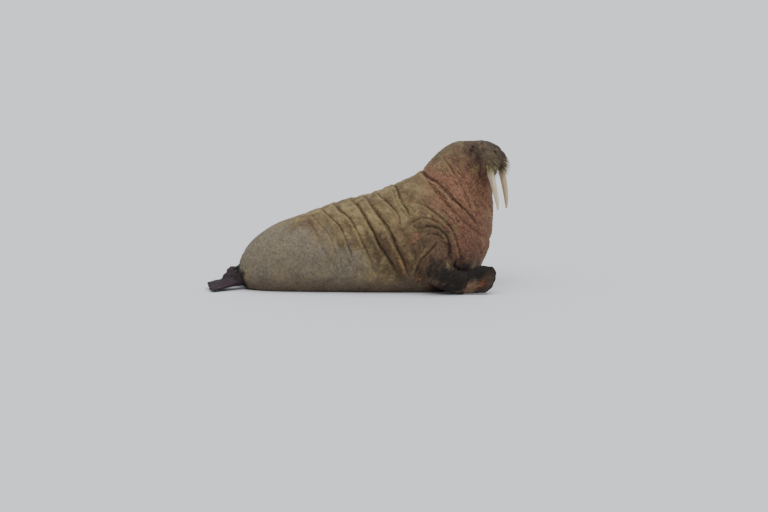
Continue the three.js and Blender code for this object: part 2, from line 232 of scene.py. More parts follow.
# Skin: the flesh nodes become one closed skin
skin = {
    "nodes": ["head", "jaw", "neck", "chest", "torso", "hips", "tail", "arm_right", "arm_left",
              "hand_right", "hand_left", "shank_right", "shank_left", "foot_right", "foot_left"],
    "pads": ["pad_right", "pad_left"],
    "grow": 0.002,  # each part is grown by this so that they run into one another
    "socket": 0.021,  # flesh round each eyeball
    "voxel": 0.0066, "merge": 1e-5,
    "rounds": 96,  # of smoothing
    "pull": (0.55, -0.57),  # each round draws in and then out, which keeps the volume
    "triangles": 196000,
    "floorGap": 0.0004,
}
# Flippers and tail keep more of their edges in the smoothing, and have fewer folds
thinNodes = ["hand_right", "hand_left", "foot_right", "foot_left", "tail"]
limbNodes = thinNodes + ["shank_right", "shank_left"]
pad = {"centre": (1279.0, 66.0, 1195.0), "radii": (92.0, 92.0, 97.0)}

# How far the smoothing is held back: share, and the reach over which it fades out, in metres
stiff = {
    "thin": {"share": 0.86, "reach": 0.05},
    "head": {"share": 0.5, "middle": onHead(1180, 0, 1220), "fade": (0.2, 0.36)},
    "muzzle": {"share": 0.85, "middle": onHead(1290, 0, 1200), "fade": (0.15, 0.24)},
}


def joinFlesh():
    joined = bmesh.new()
    for name in skin["nodes"]:
        part = bmesh.new()
        part.from_mesh(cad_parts[name].data)
        bmesh.ops.remove_doubles(part, verts=part.verts, dist=skin["merge"])
        part.normal_update()
        for vert in part.verts:
            vert.co += vert.normal * skin["grow"]
        joined.from_mesh(toMesh(part, name))
    for side in (-1, 1):
        x, y, z = pad["centre"]
        fit = Matrix.Translation(toFrame(onHead(x, side * y, z)))
        fit @= Matrix.Rotation(-math.radians(animal["headYaw"]), 4, "Z")
        fit @= Matrix.Diagonal([r / 1000 for r in pad["radii"]] + [1])
        bmesh.ops.create_uvsphere(joined, u_segments=48, v_segments=32, radius=1, matrix=fit)
        socket = Matrix.Translation(boxMiddle("eye_right" if side < 0 else "eye_left"))
        bmesh.ops.create_uvsphere(joined, u_segments=24, v_segments=16, radius=skin["socket"], matrix=socket)
    return toMesh(joined, "flesh")


def modified(mesh, kind, **settings):
    holder = addObject("holder", mesh)
    modifier = holder.modifiers.new(kind.lower(), kind)
    for name, value in settings.items():
        setattr(modifier, name, value)
    graph = bpy.context.evaluated_depsgraph_get()
    result = bpy.data.meshes.new_from_object(holder.evaluated_get(graph))
    bpy.data.objects.remove(holder)
    return result


def vectors(items, name):
    flat = np.empty(len(items) * 3)
    items.foreach_get(name, flat)
    return flat.reshape(-1, 3)


def keepShares(mesh, shares):
    for name, values in shares.items():
        attribute = mesh.attributes.new(name, "FLOAT", "POINT")
        attribute.data.foreach_set("value", values.astype(np.float32))


def inAnimal(points):
    return points * 1000 - np.array(shift)


def smoothed(points, edges, weights, rounds):
    count = len(points)
    first, second = edges.T
    degree = np.bincount(first, minlength=count) + np.bincount(second, minlength=count)
    for step in range(rounds):
        amount = skin["pull"][step % 2]
        total = np.stack([
            np.bincount(first, points[second, axis], count) + np.bincount(second, points[first, axis], count)
            for axis in range(3)
        ], axis=1)
        points = points + (amount * weights)[:, None] * (total / degree[:, None] - points)
    return points


# How near points are to the boxes of some nodes, from 1 inside one of them to 0 past the reach
def nearAny(points, names, reach):
    gaps = []
    for name in names:
        low, high = (np.array(corner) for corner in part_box(name))
        gaps.append(np.linalg.norm(np.maximum(np.maximum(low - points, points - high), 0), axis=1))
    return 1 - smoothStep(np.min(gaps, axis=0), 0, reach)


face = {
    "eyes": [animal["rightEye"], animal["leftEye"]],
    "eyeRadius": 19.0,
    "nostrils": [onHead(1338, side * 42, 1278) for side in (-1, 1)],
}
# Finer faces round the head, the eyes and the nostrils: middles and reach in millimetres
finer = [([stiff["head"]["middle"]], 270), (face["eyes"], 62), (face["nostrils"], 42)]


def refine(bm, centres, radius):
    middles = [toFrame(c) for c in centres]
    reach = radius / 1000
    edges = [e for e in bm.edges
             if any(((e.verts[0].co + e.verts[1].co) / 2 - m).length < reach for m in middles)]
    bmesh.ops.subdivide_edges(bm, edges=edges, cuts=1, use_grid_fill=True)


def skinBase():
    mesh = modified(joinFlesh(), "REMESH", mode="VOXEL", voxel_size=skin["voxel"])
    bm = bmesh.new()
    bm.from_mesh(mesh)
    bmesh.ops.remove_doubles(bm, verts=bm.verts, dist=skin["merge"])
    for centres, radius in finer:
        refine(bm, centres, radius)
    bmesh.ops.triangulate(bm, faces=[f for f in bm.faces if len(f.verts) > 4])
    bm.to_mesh(mesh)
    bm.free()
    points = vectors(mesh.vertices, "co")
    edges = np.empty(len(mesh.edges) * 2, dtype=int)
    mesh.edges.foreach_get("vertices", edges)
    held = stiff["thin"]["share"] * nearAny(points, thinNodes, stiff["thin"]["reach"])
    for part in (stiff["head"], stiff["muzzle"]):
        gap = np.linalg.norm(points - np.array(toFrame(part["middle"])), axis=1)
        held = np.maximum(held, part["share"] * (1 - smoothStep(gap, *part["fade"])))
    points = smoothed(points, edges.reshape(-1, 2), 1 - held, skin["rounds"])
    mesh.vertices.foreach_set("co", points.ravel())
    mesh.update()
    return mesh


skinMesh = skinBase()
print("stage: skin base,", len(skinMesh.vertices), "points")


# Folds of the hide: depth, width and height of the ridge in millimetres, and a line in the picture. The
# ridge is the edge of the roll that hangs over the crease from behind.
folds = [
    (3, 10, 1, [(303, 214), (312, 226), (319, 239), (325, 254)]),
    (5, 9, 2, [(309, 211), (318, 221), (327, 232), (334, 246), (338, 258)]),
    (8, 9, 3, [(318, 206), (331, 217), (339.5, 226), (346, 238), (350, 249), (354, 262)]),
    (12, 10, 5, [(330, 202), (338, 208.5), (348.4, 217.5), (357.6, 231.3), (362.9, 242.7), (368, 254),
        (374, 270)]),
    (17, 11, 6, [(344, 196), (354, 202), (361, 209.8), (366.8, 219.8), (372.9, 229.7), (379, 242.7),
        (385.1, 252.7), (392, 264), (398, 278)]),
    (17, 11, 6, [(361, 193), (370, 202.5), (377.5, 212.9), (385.1, 223.6), (391.3, 235), (395.8, 245.8),
        (401.2, 255.8), (406, 268), (409, 280)]),
    (4, 6, 2, [(373, 208), (380.5, 219), (387.5, 231), (391.5, 241), (396, 252)]),
    (10, 9, 4, [(373, 190), (381, 197), (388, 203), (394, 209), (398.5, 217), (401, 227)]),
    (9, 8, 5, [(390, 182), (395.5, 188.5), (401.2, 200.6), (406.6, 210.6), (409.5, 219)]),
    (5, 6, 3, [(387, 187), (394, 195), (399, 206), (403, 214)]),
    (17, 13, 7, [(416, 166), (421.5, 171.5), (428, 178), (436.5, 183), (444, 190), (451.4, 198.8),
        (459, 206), (467, 213), (473, 221), (477, 229)]),
    (7, 9, 3, [(441, 158), (446.4, 163), (452, 171), (458, 180), (463, 191), (468, 204.6), (473, 219)]),
    (5, 8, 2, [(456, 165), (462, 176), (468, 188), (474, 202), (478, 216)]),
    (6, 8, 3, [(444, 186), (448, 191.4), (453, 201.3), (459.7, 207), (464, 213)]),
    (11, 10, 6, [(414, 202), (426, 207), (435, 214), (444, 222), (451, 231), (455.5, 239), (458, 247),
        (459.5, 256), (460, 267)]),
    (6, 9, 3, [(407, 228), (415, 221), (423.6, 218), (433, 220), (441, 226), (446, 233)]),
    (12, 10, 5, [(422, 228), (430, 226), (437, 228), (443, 234), (448, 243), (448.6, 252), (447.5, 262)]),
    (6, 7, 3, [(425, 235), (431, 233.5), (438, 236), (443, 241)]),
    (15, 10, 5, [(437, 243), (433, 247), (428, 252), (422.5, 259), (417.5, 266), (414, 279)]),
    (8, 12, 3, [(448, 262), (455, 268), (466, 270), (478, 268), (487, 264)]),
    (7, 10, 3, [(471, 151), (476, 158), (479, 167), (478, 176)]),
    (3, 8, 1, [(480, 147), (482.5, 152), (484, 158), (484.5, 165), (486, 171)]),
    (4, 7, 2, [(467, 152), (469, 160), (472, 168), (476, 174)]),
    (2.5, 6, 2, [(476, 142), (483, 146), (489, 147), (495, 149)]),
    (4, 8, 2, [(463, 144), (461.5, 150), (461, 158)]),
]


# Short wrinkles strewn over patches of the picture: patch, count, angle, depth, lengths, seed
wrinkles = [
    ((436, 488, 168, 244), 92, 62, 4.8, (6, 15), 5),  # neck
    ((430, 486, 170, 240), 46, 20, 2.6, (4, 9), 6),  # across the neck
    ((430, 472, 146, 168), 34, 80, 2.5, (4, 9), 7),  # crown
    ((402, 446, 182, 226), 56, 35, 4, (5, 12), 8),  # shoulder
    ((418, 470, 244, 286), 70, 120, 4.2, (4, 10), 9),  # arm
    ((330, 410, 205, 275), 60, 62, 3, (6, 14), 10),  # flank
    ((236, 330, 222, 290), 40, 40, 1.8, (6, 14), 11),  # rump
    ((446, 486, 264, 292), 26, 150, 3, (5, 10), 12),  # wrist
]
# How the wrinkles of a patch differ: turn in degrees, bow to length, depth, width and ridge to depth
unlike = {"turn": 13, "bow": 0.16, "depth": (0.6, 1.3), "width": (4.5, 7), "ridge": 0.4}


def strewn(patch, count, turn, deep, lengths, seed):
    rng = random.Random(seed)
    low, high, top, bottom = patch
    for _ in range(count):
        start = Vector((rng.uniform(low, high), rng.uniform(top, bottom)))
        angle = math.radians(turn + rng.gauss(0, unlike["turn"]))
        length = rng.uniform(*lengths)
        bow = rng.uniform(-unlike["bow"], unlike["bow"]) * length
        ahead = Vector((math.cos(angle), math.sin(angle)))
        aside = Vector((-ahead.y, ahead.x))
        line = [start + ahead * length * s + aside * bow * 4 * s * (1 - s) for s in (0, 0.33, 0.67, 1)]
        depth = deep * rng.uniform(*unlike["depth"])
        width = rng.uniform(*unlike["width"])
        yield depth, width, unlike["ridge"] * depth, np.array([tuple(point) for point in line])


def curveAt(values, share):
    # Catmull-Rom through evenly spaced values
    place = share * (len(values) - 1)
    k = min(int(place), len(values) - 2)
    t = place - k
    a, b, c, d = (values[min(max(k + i, 0), len(values) - 1)] for i in (-1, 0, 1, 2))
    slopeIn, slopeOut = (c - a) * 0.5, (d - b) * 0.5
    return (b * (2 * t**3 - 3 * t**2 + 1) + c * (3 * t**2 - 2 * t**3)
            + slopeIn * (t**3 - 2 * t**2 + t) + slopeOut * (t**3 - t**2))


def rounded(line):
    corners = [np.array(point) for point in line]
    steps = 3 * (len(corners) - 1)
    return np.array([curveAt(corners, k / steps) for k in range(steps + 1)])


allFolds = [(depth, width, ridge, rounded(line)) for depth, width, ridge, line in folds]
allFolds += [fold for values in wrinkles for fold in strewn(*values)]

# A fold from one side to the other, in shares of its width: it is steeper ahead of the crease than
# behind it, with the lip of the roll behind and a lower swell ahead
profile = {
    "ahead": 0.8, "behind": 1.25,
    "lip": (-2.1, 1.5), "swell": (2.6, 1.9), "swellRise": 0.5,
    "creaseShade": 0.75,  # width of the painted shade line in the crease
    "ends": (0.14, 0.84),  # the fold fades in before the first and out after the second
    "deep": 9, "high": 5,  # depth and ridge in millimetres that take on the full colour
}


# Height of the folds over the smooth skin in millimetres, with the shares of painted shade in the crease and
# of painted highlight on the ridge
def foldRelief(u, v):
    height, crease, ridge = np.zeros((3, len(u)))
    for depth, width, rise, line in allFolds:
        margin = 5 * width * seen["scale"] + 1
        low, high = line.min(axis=0) - margin, line.max(axis=0) + margin
        near = np.nonzero((u > low[0]) & (u < high[0]) & (v > low[1]) & (v < high[1]))[0]
        best = np.full(len(near), 1e9)
        signed, along = np.zeros((2, len(near)))
        pieces = len(line) - 1
        for k in range(pieces):
            start, end = line[k], line[k + 1]
            step = end - start
            offU, offV = u[near] - start[0], v[near] - start[1]
            share = np.clip((offU * step[0] + offV * step[1]) / (step @ step), 0, 1)
            gap = np.hypot(offU - share * step[0], offV - share * step[1])
            closer = gap < best
            turn = step[1] * offU - step[0] * offV
            best = np.where(closer, gap, best)
            signed = np.where(closer, np.where(turn > 0, gap, -gap), signed)
            along = np.where(closer, (k + share) / pieces, along)
        gap = signed * (1 / seen["scale"])
        first, last = profile["ends"]
        fade = smoothStep(along, 0, first) * (1 - smoothStep(along, last, 1))
        dip = hump(gap, 0, np.where(gap > 0, profile["ahead"], profile["behind"]) * width) * fade
        lip, swell = (hump(gap, middle * width, wide * width) * fade
                      for middle, wide in (profile["lip"], profile["swell"]))
        height[near] += -depth * dip + rise * (lip + profile["swellRise"] * swell)
        # the crease is painted darker than the skin round it: painted shade
        creaseShade = min(depth / profile["deep"], 1) * hump(gap, 0, profile["creaseShade"] * width) * fade
        crease[near] = np.maximum(crease[near], creaseShade)
        # the lip of the roll is painted paler: painted highlight
        ridge[near] = np.maximum(ridge[near], min(rise / profile["high"], 1) * lip)
    return height, crease, ridge


# Fuller places: a line through the flesh, how far it reaches and how much the skin rises there
swells = [
    ([(1235, -150, 950), (1225, -140, 700), (1205, -110, 380)], 150, 19),  # throat
    ([onHead(1322, -30, 1298), onHead(1322, 30, 1298)], 48, 13),  # end of the nose
]


def lineGap(points, line):
    nearest = np.full(len(points), 1e9)
    for start, end in zip(line, line[1:]):
        step = np.array(end) - np.array(start)
        offset = points - np.array(start)
        share = np.clip(offset @ step / (step @ step), 0, 1)
        nearest = np.minimum(nearest, np.linalg.norm(offset - share[:, None] * step, axis=1))
    return nearest


def swellRelief(points):
    return sum(rise * hump(lineGap(points, line), 0, reach) for line, reach, rise in swells)


# Places where a thin flipper is drawn sideways: middle, reach and way
pushes = [
    ((1095, -436, 225), 75, (0, 0, 36)),  # upper edge of the right hand
    ((1250, -455, 225), 60, (-12, 0, -9)),  # its upper corner
    ((-1350, -270, 50), 130, (-42, 0, -12)),  # end of the right foot
    ((-1385, -125, 77), 60, (-5, 0, -22)),  # its upper corner
    ((-1195, 224, 168), 60, (-8, 0, -22)),  # upper corner of the left foot
]


def pushed(points):
    moved = points.copy()
    for middle, reach, way in pushes:
        gap = np.linalg.norm(points - np.array(middle), axis=1)
        moved += hump(gap, 0, reach)[:, None] * np.array(way)
    return moved


# Soft patches in the picture: (middle u, middle v, half length, half height, tilt in degrees)
patches = {
    "red": [(462, 192, 26, 32, 18), (474, 226, 19, 46, 0), (439, 181, 17, 12, 40), (482, 196, 9, 30, 0),
            (466, 246, 15, 20, 0)],
    "russet": [(430, 198, 24, 15, 35), (440, 262, 26, 24, 0), (404, 240, 18, 22, 20), (464, 152, 10, 9, 0),
               (482, 150, 4, 6, 20), (473, 164, 5, 9, 0), (483, 190, 5, 26, 0), (470, 256, 16, 7, 0)],
    "face": [(492, 156, 25, 20, 0), (473, 150, 10, 12, 0)],
    # the face's own dark skin, and painted shade under the pads
    "dark": [(477.5, 156, 4, 11, 8), (474, 147.5, 4, 3.5, 0), (499, 169.5, 9, 2.6, 0),
             (499, 145.5, 8, 3, 28), (470, 153, 1.6, 6, -15), (464.5, 150, 1.4, 8, 4)],
    # painted shade in the armpit, under the pads and on the chest's underside
    "umberAndShade": [(448.5, 251, 3, 10, -8), (500, 168, 6, 2.4, 0), (468, 273, 22, 16, -5)],
    # painted shade on the lower chest and by the armpit, and a few small darker spots on the head, shoulder
    # and rump
    "dimShade": [(464, 246, 20, 24, 0), (440, 240, 12, 10, 0), (438, 261, 8, 8, 0), (459, 160, 9, 5, 0),
            (452, 165, 8, 6, 0), (468, 152, 7, 9, 0), (406, 195, 9, 6, 20), (310, 225, 12, 5, 20)],
    # near black flipper skin, and painted shade under the chest and on the arm
    "blackAndShade": [(461, 279, 24, 14, 0), (450, 288, 16, 5, 0), (480, 276, 24, 8, 0),
              (444, 274, 18, 10, 25), (456, 276, 14, 11, 0)],
    "grey": [(292, 238, 24, 10, -10), (262, 254, 36, 34, 20), (302, 256, 36, 27, 15), (340, 266, 28, 22, 20)],
    "pink": [(413, 240, 3.2, 5, 40), (417, 236, 3, 3, 0), (419, 278.5, 6, 2.2, 0), (438, 288, 10, 2, 8),
             (481, 143.5, 4, 3, 30), (469, 159, 4, 5, 30), (468, 178, 2.5, 9, 25), (458, 192, 2, 8, 35)],
    "olive": [(491, 153, 9, 9, 0), (450, 152, 24, 10, -20)],
    "palm": [(468, 288, 10.5, 5, -25)],
    "palmRim": [(487.5, 281, 4.6, 8, 20)],
    "rust": [(480, 285.5, 3.4, 7, 18)],
    # painted shade: the lower flanks, the shoulder and the arm are darker here
    "brown": [(434, 250, 26, 32, 0), (425, 272, 24, 16, 10), (398, 264, 32, 16, 50), (428, 228, 16, 5, 10),
              (376, 247, 15, 6.5, 60), (452, 262, 14, 10, 0)],
    "orange": [(485.5, 197, 3, 13, 0), (400, 262, 3, 12, -28)],
}


# The bare dark skin on top of the nose and down between the pads
bareNose = {
    "line": [onHead(1215, -8, 1352), onHead(1312, -6, 1318), onHead(1348, 66, 1262), onHead(1360, 90, 1195)],
    "edge": (24, 66),
    "ragged": 70,
}


def patchShare(u, v, shapes, edge, rough):
    share = np.zeros(len(u))
    for middleU, middleV, halfU, halfV, tilt in shapes:
        turn = math.radians(tilt)
        offU, offV = u - middleU, v - middleV
        a = (offU * math.cos(turn) + offV * math.sin(turn)) / halfU
        b = (offV * math.cos(turn) - offU * math.sin(turn)) / halfV
        share = np.maximum(share, 1 - smoothStep(np.hypot(a, b) + rough, 1 - edge, 1 + edge))
    return share


# Eyelids: the skin swells over the eyeball and opens in a slanting almond
lids = {
    "reach": 75, "base": 45,  # the skin that is worked, and the part of it that gives the outward way
    "over": 22.5, "blend": (18, 24),  # ball of the lids, and where it runs out into the face
    "skirts": [(7, 25, 9), (4, 0, 46)],  # soft rises round it: rise, middle, width
    "length": 17.5, "height": 9.5, "slant": 14.0,  # half sizes of the almond, and its turn
    "open": 15.0, "edge": (0.86, 1.04), "rim": (2.2, 1.2, 0.16),
    "rings": [(25, 3.4), (33, 2.8), (42, 2.4), (51, 1.6)], "ringWidth": 2.6, "ringFlat": 1.25,
}


def unitVector(values):
    return values / np.linalg.norm(values)


def eyeRelief(points, normals, height, crease):
    for centre in face["eyes"]:
        offset = points - np.array(centre)
        distance = np.linalg.norm(offset, axis=1)
        near = np.nonzero(distance < lids["reach"])[0]
        outward = unitVector(normals[near[distance[near] < lids["base"]]].mean(axis=0))
        ahead = np.array(headWay(1, 0, 0))
        ahead = unitVector(ahead - outward * (ahead @ outward))
        upward = np.cross(outward, ahead)
        if upward[2] < 0:
            upward = -upward
        slant = math.radians(lids["slant"])
        a, b, rise = (offset[near] @ way for way in (ahead, upward, outward))
        across = a * math.cos(slant) - b * math.sin(slant)
        upright = b * math.cos(slant) + a * math.sin(slant)
        lateral = np.hypot(a, b)
        dome = np.sqrt(np.maximum(lids["over"] ** 2 - lateral**2, 0))
        lift = np.maximum(dome - rise, 0) * (1 - smoothStep(lateral, *lids["blend"]))
        skirt = sum(tall * hump(lateral, middle, width) for tall, middle, width in lids["skirts"])
        opening = np.hypot(across / lids["length"], upright / lids["height"])
        hole = 1 - smoothStep(opening, *lids["edge"])
        tall, middle, width = lids["rim"]
        rim = tall * hump(opening, middle, width)
        oval = np.hypot(across, upright * lids["ringFlat"])
        ringFolds = sum(depth * hump(oval, radius, lids["ringWidth"]) for radius, depth in lids["rings"])
        ringFolds *= 0.6 + 0.4 * np.sin(np.arctan2(b, a) * 2 + 0.7)
        height[near] += lift * (1 - hole) + skirt + rim - ringFolds - lids["open"] * hole
        # the lid opening and the ring folds are painted darker: painted shade
        crease[near] = np.maximum(crease[near], 0.8 * hole)
        crease[near] = np.maximum(crease[near], np.clip(ringFolds / 4, 0, 0.5))


# Nostrils: slits that lean in towards the middle of the nose
nostril = {"reach": 60, "half": (5.0, 20.0), "depth": 16.0, "lean": 24.0, "bow": 0.006, "slope": 0.6,
           "edge": (0.5, 1.1), "rim": (3.4, 1.45, 0.4)}


def nostrilRelief(points, normals, height, crease):
    for side, centre in zip((-1, 1), face["nostrils"]):
        offset = points - np.array(centre)
        near = np.nonzero(np.linalg.norm(offset, axis=1) < nostril["reach"])[0]
        across = offset[near] @ np.array(headWay(0, 1, 0))
        ahead = offset[near] @ np.array(headWay(1, 0, 0))
        upright = offset[near][:, 2] - nostril["slope"] * ahead
        lean = math.radians(nostril["lean"]) * side
        a = across * math.cos(lean) - upright * math.sin(lean)
        b = upright * math.cos(lean) + across * math.sin(lean)
        a += nostril["bow"] * side * b * b
        size = np.hypot(a / nostril["half"][0], b / nostril["half"][1])
        facing = smoothStep(normals[near] @ np.array(headWay(1, 0, 0.4)), 0.1, 0.5)
        hole = (1 - smoothStep(size, *nostril["edge"])) * facing
        tall, middle, width = nostril["rim"]
        rim = hump(size, middle, width) * facing
        height[near] += tall * rim - nostril["depth"] * hole
        # the nostril is painted darker inside: painted shade
        crease[near] = np.maximum(crease[near], hole)


# Lumps in the thick hide of a bull's neck and chest
lumps = {"count": 1500, "radius": (9.0, 16.0), "height": (1.6, 4.6), "seed": 21,
         "inside": 0.35,  # share of the red patches from which a lump may start
         "drawn": 0.55, "soft": 0.7}


def lumpRelief(points, region, height):
    rng = random.Random(lumps["seed"])
    choices = np.nonzero(region > lumps["inside"])[0]
    tree = KDTree(len(points))
    for i, point in enumerate(points):
        tree.insert(point, i)
    tree.balance()
    for _ in range(lumps["count"]):
        centre = points[rng.choice(choices)]
        radius = rng.uniform(*lumps["radius"])
        tall = rng.uniform(*lumps["height"])
        for co, i, distance in tree.find_range(centre, 2 * radius):
            drop = (co[2] - centre[2]) * lumps["drawn"]
            reach = distance * distance - drop * drop
            swell = math.exp(-max(reach, 0) / (lumps["soft"] * radius) ** 2)
            height[i] = max(height[i], tall * swell * region[i])


# Unevenness of the hide: of the lines of the folds in pixels, and of its surface in millimetres
uneven = {
    "lineU": [(0.4, 280, 1), (0.14, 70, 2)],
    "lineV": [(0.4, 280, 3), (0.14, 70, 4)],
    "surface": [(1.6, 210, 31), (0.8, 70, 32), (0.45, 28, 33)],
    "limbReach": 0.04, "limbShare": 0.9,  # folds fade on the limbs, and by this much
    "belly": (15, 110),  # and towards the floor
}


def dressSkin(mesh):
    places = vectors(mesh.vertices, "co")
    points = inAnimal(places)
    normals = vectors(mesh.vertex_normals, "vector")
    u, v, _ = seenPlace(points)
    moveU, moveV = layeredNoise(points, uneven["lineU"]), layeredNoise(points, uneven["lineV"])
    height, crease, ridge = foldRelief(u + moveU, v + moveV)
    limbs = nearAny(places, limbNodes, uneven["limbReach"])
    height *= 1 - uneven["limbShare"] * limbs
    crease *= 1 - uneven["limbShare"] * limbs
    ridge *= 1 - limbs
    belly = smoothStep(points[:, 2], *uneven["belly"])
    height = height * belly + swellRelief(points)
    neckShare = patchShare(u, v, patches["red"], 0.35, 0)
    lumpHeight = np.zeros(len(points))
    lumpRelief(points, neckShare * (1 - limbs), lumpHeight)
    height += lumpHeight + (1 - limbs) * belly * layeredNoise(points, uneven["surface"])
    eyeRelief(points, normals, height, crease)
    nostrilRelief(points, normals, height, crease)
    moved = (pushed(points) + normals * height[:, None] + np.array(shift)) / 1000
    moved[:, 2] = np.maximum(moved[:, 2], skin["floorGap"])
    mesh.vertices.foreach_set("co", moved.ravel())
    mesh.update()
    # painted shade in the creases, eye openings and nostrils, and painted highlight on the ridges
    keepShares(mesh, {"fold": crease, "ridge": ridge})


dressSkin(skinMesh)
print("stage: folds, lids and lumps")


def largestPart(mesh):
    bm = bmesh.new()
    bm.from_mesh(mesh)
    left = set(bm.verts)
    parts = []
    while left:
        part = [left.pop()]
        for vert in part:
            fresh = {edge.other_vert(vert) for edge in vert.link_edges} & left
            left -= fresh
            part.extend(fresh)
        parts.append(part)
    for part in sorted(parts, key=len)[:-1]:
        bmesh.ops.delete(bm, geom=part, context="VERTS")
    bmesh.ops.triangulate(bm, faces=bm.faces)
    bmesh.ops.recalc_face_normals(bm, faces=bm.faces)
    return bm


# Where colours fade: flippers, feet and hand are reaches round their boxes in metres, sides and under
# are in millimetres
paint = {
    "soft": 0.6,  # edge of the patches
    "ragged": [(0.14, 190, 41), (0.12, 60, 42), (0.1, 28, 44)],
    "flippers": 0.05, "feet": 0.02, "hand": 0.01,
    "sootEdge": (0.2, 0.9), "sootRagged": 8,
    "sides": {"blackAndShade": (150, 330), "brown": (100, 300)},  # these stop short of the middle of the belly
    # under: painted shade towards the floor, its height span and waviness
    "under": (40, 210), "underWave": [(18, 150, 43)],
}


# Shares of each colour over the skin, kept with the mesh for its material
def paintSkin(mesh):
    places = vectors(mesh.vertices, "co")
    points = inAnimal(places)
    u, v, side = seenPlace(points)
    ragged = layeredNoise(points, paint["ragged"])
    zones = {name: patchShare(u, v, shapes, paint["soft"], ragged) for name, shapes in patches.items()}
    for name, span in paint["sides"].items():
        zones[name] *= smoothStep(np.abs(side), *span)
    limbs = nearAny(places, limbNodes, paint["flippers"])
    torn = limbs - paint["sootRagged"] * ragged * limbs * (1 - limbs)
    # the flippers' own near black is joined to the painted shade of the patches
    zones["blackAndShade"] = np.maximum(zones["blackAndShade"], smoothStep(torn, *paint["sootEdge"]))
    # the bare nose's own dark skin joins the painted shade of the patches
    noseGap = lineGap(points, bareNose["line"]) + bareNose["ragged"] * ragged
    zones["umberAndShade"] = np.maximum(zones["umberAndShade"], 1 - smoothStep(noseGap, *bareNose["edge"]))
    for name in ("palm", "palmRim", "rust"):
        zones[name] *= nearAny(places, ["hand_right"], paint["hand"])
    zones["foot"] = nearAny(places, ["foot_right", "foot_left"], paint["feet"])
    # painted shade: the skin is darker towards the floor
    depth = points[:, 2] + layeredNoise(points, paint["underWave"])
    zones["under"] = 1 - smoothStep(depth, *paint["under"])
    keepShares(mesh, zones)


# Walrus hide: thick, dry and matt, grained by small cracks, with short flat hair. The bull's
# neck is a bald red-brown set with lumps, and the flippers and muzzle are near black.
# Some layers below paint shade into the colour (creases, eye openings, nostrils, lower flanks, arm, armpit,
# chest's underside, under the pads and near the floor) and paint highlights (the lips of the rolls and the
# tops of the neck's lumps)
hideColours = {
    "tan": "#8a7852", "brown": "#64543b", "grey": "#736b5d", "redBrown": "#8b604b", "redDark": "#4d3025",
    "nodule": "#a17763", "russet": "#664737", "pink": "#96604f", "dark": "#2a2520", "face": "#4a3d31",
    "olive": "#544a37", "shade": "#3f3223", "orange": "#855735", "palm": "#80624a", "foot": "#2f1f28",
    "ridge": "#a89468", "umberAndShade": "#372d25", "rust": "#8a4a29", "crease": "#2b2018", "under": "#55483f",
    "blackAndShade": "#100d0b",
}
# Colours laid one over another: colour, shares that are multiplied, strength
hideLayers = [
    ("grey", "grey", 0.85),
    # painted shade on the lower flanks, shoulder and arm
    ("shade", "brown", 0.8),
    # painted shade near the floor
    ("under", "under", 0.75),
    ("russet", "russet scuffed", 0.6),
    ("olive", "olive", 0.6),
    ("redBrown", "red", 0.92),
    # painted highlight: the tops of the neck's lumps are lighter
    ("nodule", "red bossTop mottled", 0.5),
    # painted shade: the grooves between the lumps are darker
    ("redDark", "red net", 0.42),
    ("redDark", "red speckDark", 0.35),
    ("pink", "pink scuffed", 0.45),
    ("orange", "orange scuffed", 0.5),
    # painted highlight: the lips of the rolls are paler
    ("ridge", "ridge mottled", 0.35),
    ("face", "face", 0.85),
    ("olive", "face olive", 0.7),
    # the bare nose's own dark skin, and painted shade in the armpit, under the pads and on the chest's
    # underside
    ("umberAndShade", "umberAndShade", 0.82),
    ("russet", "face russet scuffed", 0.6),
    # the face's own dark skin, and painted shade under the pads
    ("dark", "dark", 0.56),
    # painted shade on the lower chest and by the armpit, and a few small darker spots on the head, shoulder
    # and rump
    ("redDark", "dimShade", 0.38),
    # near black flippers, with painted shade under the chest and on the arm
    ("blackAndShade", "blackAndShade", 0.95),
    ("foot", "foot", 0.85),
    ("palm", "palm", 0.48),
    ("palm", "palmRim", 0.17),
    ("palm", "palm streaked", 0.5),
    ("rust", "rust streaked", 0.5),
    # painted shade in the creases, eye openings and nostrils
    ("crease", "fold", 0.6),
    ("crease", "cracked", 0.17),
    ("shade", "speckDark", 0.16),
]


# Grains of the hide: scale, detail and roughness of each noise
hideGrains = {
    "mottle": (8.0, 6.0, 0.62),  # mottling of the coat, about 120 mm across
    "speck": (40.0, 5.0, 0.7),  # specks and scuffs of 25 mm
    "grit": (110.0, 3.0, 0.7),  # 9 mm
    "wrinkle": (34.0, 8.0, 0.65),  # 30 mm
}
# Shares of the surface that the grains pick out: grain, and the values where the share is 0 and 1
hideMasks = {
    "mottled": ("mottle", 0.35, 0.65),
    "scuffed": ("speck", 0.36, 0.64),
    "speckDark": ("speck", 0.5, 0.3),
    # the lump tops and the grooves between them carry a painted highlight and painted shade
    "bossTop": ("boss", 0.6, 0.2),
    "net": ("netting", 0.16, 0.02),
    "cracked": ("cracks", 0.1, 0.0),
    "streaked": ("streak", 0.4, 0.62),
}
# Relief: share, strength and height in metres
hideRelief = [
    ("bosses", 0.8, 0.008), ("wrinkle", 0.8, 0.018), ("cracked", -0.35, 0.003), ("grit", 0.4, 0.0015),
]


# Coordinates turned about Y and measured in grains of the given size in metres
def grainWay(tree, coords, turn, size):
    return addNode(tree, "ShaderNodeMapping", {"vector_type": "TEXTURE"},
                   {"Vector": coords, "Rotation": (0, math.radians(turn), 0), "Scale": size})


def warped(tree, coords, scale, detail, amount):
    warp = noise(tree, coords, scale, detail, out=1)
    inputs = {0: warp, 1: [amount] * 3, 2: coords}
    return addNode(tree, "ShaderNodeVectorMath", {"operation": "MULTIPLY_ADD"}, inputs)


def cellEdges(tree, coords, scale):
    inputs = {"Vector": coords, "Scale": scale}
    return addNode(tree, "ShaderNodeTexVoronoi", {"feature": "DISTANCE_TO_EDGE"}, inputs)


